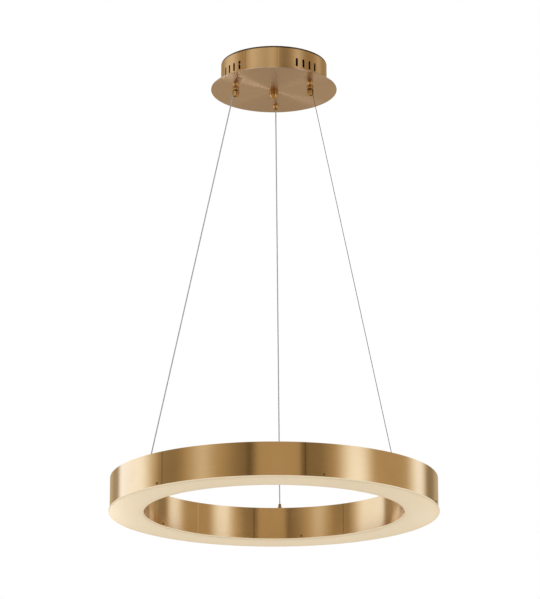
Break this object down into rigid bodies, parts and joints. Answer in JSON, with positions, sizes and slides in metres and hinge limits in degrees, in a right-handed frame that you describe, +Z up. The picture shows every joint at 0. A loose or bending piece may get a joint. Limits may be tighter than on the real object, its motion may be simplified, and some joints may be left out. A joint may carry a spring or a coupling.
{
  "type": "led ring chandelier",
  "caption": "Gold ring lamp with an opal lower face, hung by taut steel cables from a vented round ceiling canopy; side-outlet cable grippers set its height.",
  "frame": {"origin": "centre of the ceiling plate's upper face, which lies against the ceiling", "axes": "+Z up into the ceiling; +Y from the pictured side towards the far cable; +X to the right as pictured"},
  "size_m": [0.6039, 0.604, 0.8765],
  "materials": {
    "dark_plate": "satin dark grey paint",
    "zinc_steel": "zinc plated",
    "bright_steel": "polished",
    "band_gold": "gold plated, brushed along the ring",
    "ring_plate_gold": "gold plated, brushed",
    "can_gold": "gold plated, brushed round the can",
    "plate_gold": "gold plated, spun",
    "fitting_brass": "turned, satin",
    "bush_brass": "turned, satin",
    "screw_brass": "plated",
    "cable_steel": "stranded, bright",
    "cable_jacket": "clear",
    "opal_diffuser": "opal cream, satin",
    "circuit_board": "white solder resist",
    "light_source": "phosphor",
    "driver_plastic": "fine grained",
    "block_plastic": "satin",
    "terminal_brass": "plated",
    "lead_jacket": "satin"
  },
  "bodies": {
    "canopy": {"ceiling_plate": "dark_plate", "centre_stud": "zinc_steel", "stud_weld_nut": "zinc_steel", "canopy_plate": "plate_gold", "canopy_can": "can_gold", "canopy_studs": "zinc_steel", "canopy_stud_nuts": "zinc_steel", "cap_washer": "fitting_brass", "gripper_left_collar": "fitting_brass", "gripper_left_lock_nut": "fitting_brass", "gripper_left_barrel": "fitting_brass", "gripper_left_balls": "bright_steel", "gripper_left_clip": "bright_steel", "gripper_left_spring": "bright_steel", "gripper_right_collar": "fitting_brass", "gripper_right_lock_nut": "fitting_brass", "gripper_right_barrel": "fitting_brass", "gripper_right_balls": "bright_steel", "gripper_right_clip": "bright_steel", "gripper_right_spring": "bright_steel", "gland_far": "fitting_brass", "gland_far_lock_nut": "fitting_brass", "gland_far_stop": "zinc_steel", "gland_far_grub_screw": "zinc_steel", "driver_case": "driver_plastic", "driver_lid": "driver_plastic", "terminal_block": "block_plastic", "terminal_screws": "terminal_brass", "output_connector": "block_plastic", "mains_leads": "lead_jacket", "output_leads": "lead_jacket"},
    "cap_nut": {"cap_nut": "fitting_brass"},
    "sleeve_left": {"gripper_left_sleeve": "fitting_brass"},
    "sleeve_right": {"gripper_right_sleeve": "fitting_brass"},
    "ring": {"outer_band": "band_gold", "inner_band": "band_gold", "ring_plate": "ring_plate_gold", "diffuser": "opal_diffuser", "outer_band_screws": "screw_brass", "inner_band_screws": "screw_brass", "led_board": "circuit_board", "led_board_screws": "zinc_steel", "led_chips": "light_source", "bush_far": "bush_brass", "bush_far_nut": "zinc_steel", "bush_far_tag": "zinc_steel", "bush_left": "bush_brass", "bush_left_nut": "zinc_steel", "bush_left_tag": "zinc_steel", "bush_right": "bush_brass", "bush_right_nut": "zinc_steel", "bush_right_tag": "zinc_steel"},
    "cable_far": {"cable_far_core": "cable_steel", "cable_far_ball": "cable_steel", "cable_far_jacket": "cable_jacket"},
    "cable_left": {"cable_left_core": "cable_steel", "cable_left_ball": "cable_steel", "cable_left_jacket": "cable_jacket"},
    "cable_right": {"cable_right_core": "cable_steel", "cable_right_ball": "cable_steel"}
  },
  "joints": [
    {"name": "cap_nut_spin", "type": "hinge", "parent": "canopy", "child": "cap_nut", "pos_m": [0, 0, -0.06], "axis": [0, 0, 1], "continuous": true},
    {"name": "sleeve_left_push", "type": "slide", "parent": "canopy", "child": "sleeve_left", "axis": [0, 0, 1], "range_m": [0, 0.0022], "stiffness_N_per_m": 900, "springref_m": -0.002, "deforming": ["gripper_left_spring"]},
    {"name": "sleeve_right_push", "type": "slide", "parent": "canopy", "child": "sleeve_right", "axis": [0, 0, 1], "range_m": [0, 0.0022], "stiffness_N_per_m": 900, "springref_m": -0.002, "deforming": ["gripper_right_spring"]},
    {"name": "ring_height", "type": "slide", "parent": "canopy", "child": "ring", "axis": [0, 0, 1], "range_m": [-0.012, 0.018]},
    {"name": "cable_far_lean", "type": "hinge", "parent": "ring", "child": "cable_far", "pos_m": [0, 0.252, -0.808], "axis": [1, 0, 0], "range_deg": [-0.31, 0.31]},
    {"name": "cable_left_lean", "type": "hinge", "parent": "ring", "child": "cable_left", "pos_m": [-0.21824, -0.126, -0.808], "axis": [-0.5, 0.866, 0], "range_deg": [-0.31, 0.31]},
    {"name": "cable_right_lean", "type": "hinge", "parent": "ring", "child": "cable_right", "pos_m": [0.21824, -0.126, -0.808], "axis": [-0.5, -0.866, 0], "range_deg": [-0.31, 0.31]}
  ],
  "couplings": [
    {"joint": "cable_far_lean", "follows": "ring_height", "rad_per_m": 0.28353},
    {"joint": "cable_left_lean", "follows": "ring_height", "rad_per_m": 0.28353},
    {"joint": "cable_right_lean", "follows": "ring_height", "rad_per_m": 0.28353}
  ]
}
